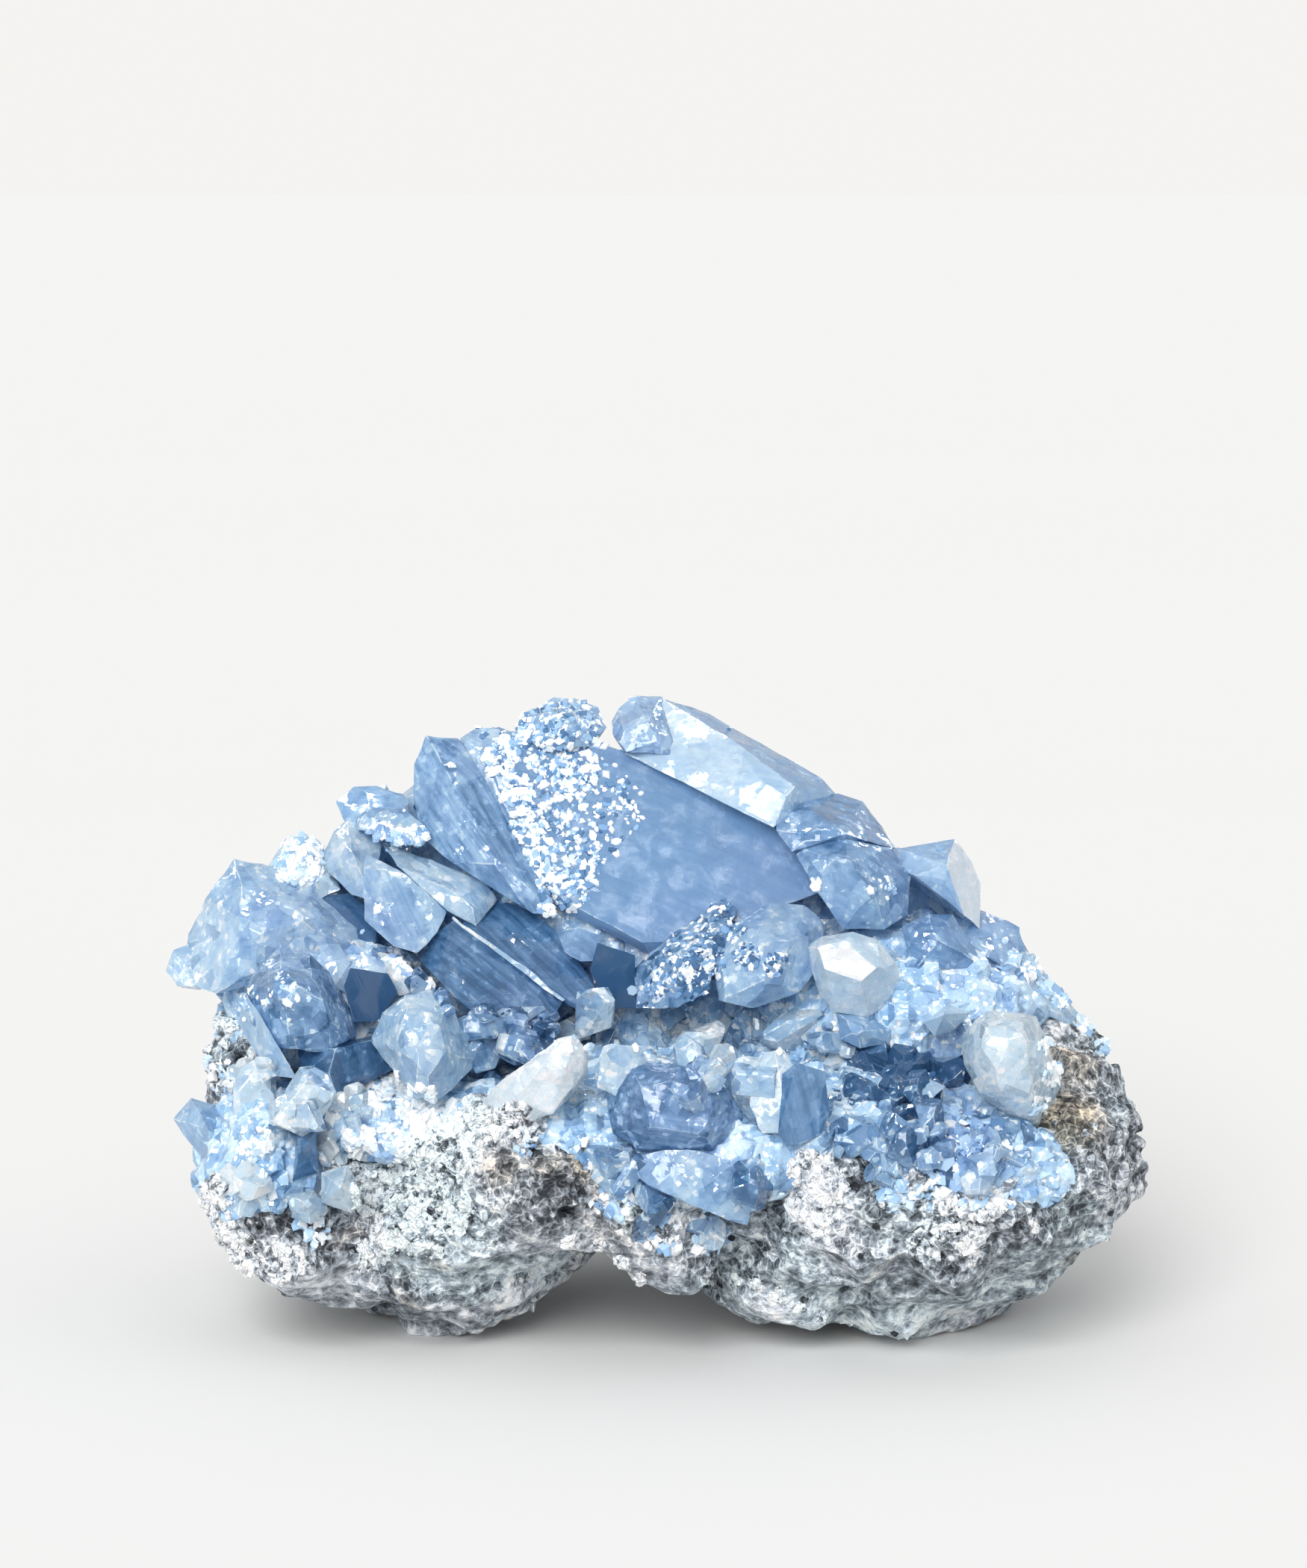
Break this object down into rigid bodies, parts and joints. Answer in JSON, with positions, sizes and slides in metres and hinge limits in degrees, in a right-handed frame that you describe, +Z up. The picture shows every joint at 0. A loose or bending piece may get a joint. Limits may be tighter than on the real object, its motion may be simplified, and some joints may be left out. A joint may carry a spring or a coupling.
{
  "type": "celestite geode",
  "caption": "Lumpy grey rock shell on two rounded feet, lined and topped with a crust of pale blue translucent crystals.",
  "frame": {"origin": "middle of the stone's box in plan, on the surface that it stands on", "axes": "+X towards the right of the picture, +Y away from its viewer, +Z up"},
  "size_m": [0.1412, 0.0936, 0.0884],
  "materials": {
    "rock": "rough, porous grey rock with white crumbs and brown stains",
    "crystal": "flat glossy crystal faces, pale blue and see-through"
  },
  "bodies": {
    "root": {"rock_shell": "rock", "crystal_crust": "crystal"}
  },
  "joints": []
}
